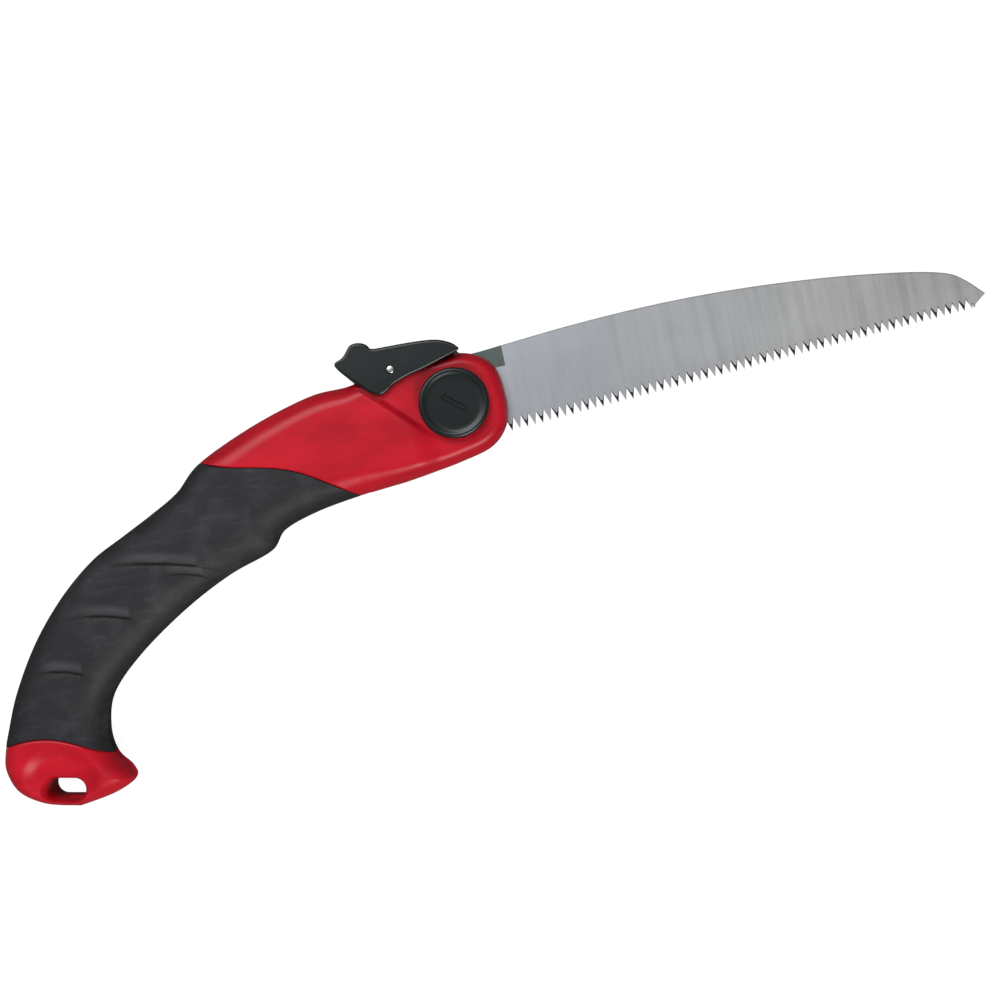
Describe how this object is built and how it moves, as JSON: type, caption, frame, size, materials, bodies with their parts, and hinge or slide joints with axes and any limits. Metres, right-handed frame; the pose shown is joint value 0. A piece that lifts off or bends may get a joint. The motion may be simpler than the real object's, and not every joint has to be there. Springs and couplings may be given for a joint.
{
  "type": "folding pruning saw",
  "caption": "Folding pruning saw: curved handle with rubber grips, toothed blade that folds into it, tension knob on the pivot and a thumb latch.",
  "frame": {"origin": "on the pivot axis, on the flat outer face of the nut cover, which is the plane the saw lies on", "axes": "+X from the pivot to the tip of the open blade, +Y towards the back of the blade and the latch, +Z out of the knob side"},
  "size_m": [0.4314, 0.1595, 0.0275],
  "materials": {
    "red_plastic": "moulded red plastic, fine satin grain",
    "black_rubber": "matte black over-moulded rubber",
    "black_plastic": "black glass-filled plastic, slightly glossy",
    "saw_steel": "ground saw steel with fine crosswise marks",
    "zinc_steel": "zinc-plated steel",
    "bearing_bronze": "plain bearing bronze",
    "white_acetal": "natural acetal"
  },
  "bodies": {
    "handle": {"right_shell": "red_plastic", "left_shell": "red_plastic", "right_grip": "black_rubber", "left_grip": "black_rubber", "right_liner": "zinc_steel", "left_liner": "zinc_steel", "right_thrust_washer": "white_acetal", "left_thrust_washer": "white_acetal", "spring_washer": "zinc_steel", "pivot_nut": "zinc_steel", "nut_cover": "black_plastic", "stop_pin": "zinc_steel", "latch_pin": "zinc_steel", "latch_spring": "zinc_steel", "shell_screws": "zinc_steel"},
    "blade": {"blade": "saw_steel", "pivot_bush": "bearing_bronze"},
    "latch": {"latch_lever": "black_plastic", "latch_pawl": "zinc_steel"},
    "knob": {"tension_knob": "black_plastic", "pivot_bolt": "zinc_steel"}
  },
  "joints": [
    {"name": "blade_fold", "type": "hinge", "parent": "handle", "child": "blade", "pos_m": [0, 0, 0.013], "axis": [0, 0, 1], "range_deg": [-153, 0]},
    {"name": "latch_turn", "type": "hinge", "parent": "handle", "child": "latch", "pos_m": [-0.0222, 0.0184, 0.013], "axis": [0, 0, 1], "range_deg": [-5, 4], "stiffness_Nm_per_rad": 0.5, "deforming": ["latch_spring"]},
    {"name": "knob_turn", "type": "hinge", "parent": "handle", "child": "knob", "pos_m": [0, 0, 0.025], "axis": [0, 0, 1], "range_deg": [-45, 45]}
  ]
}
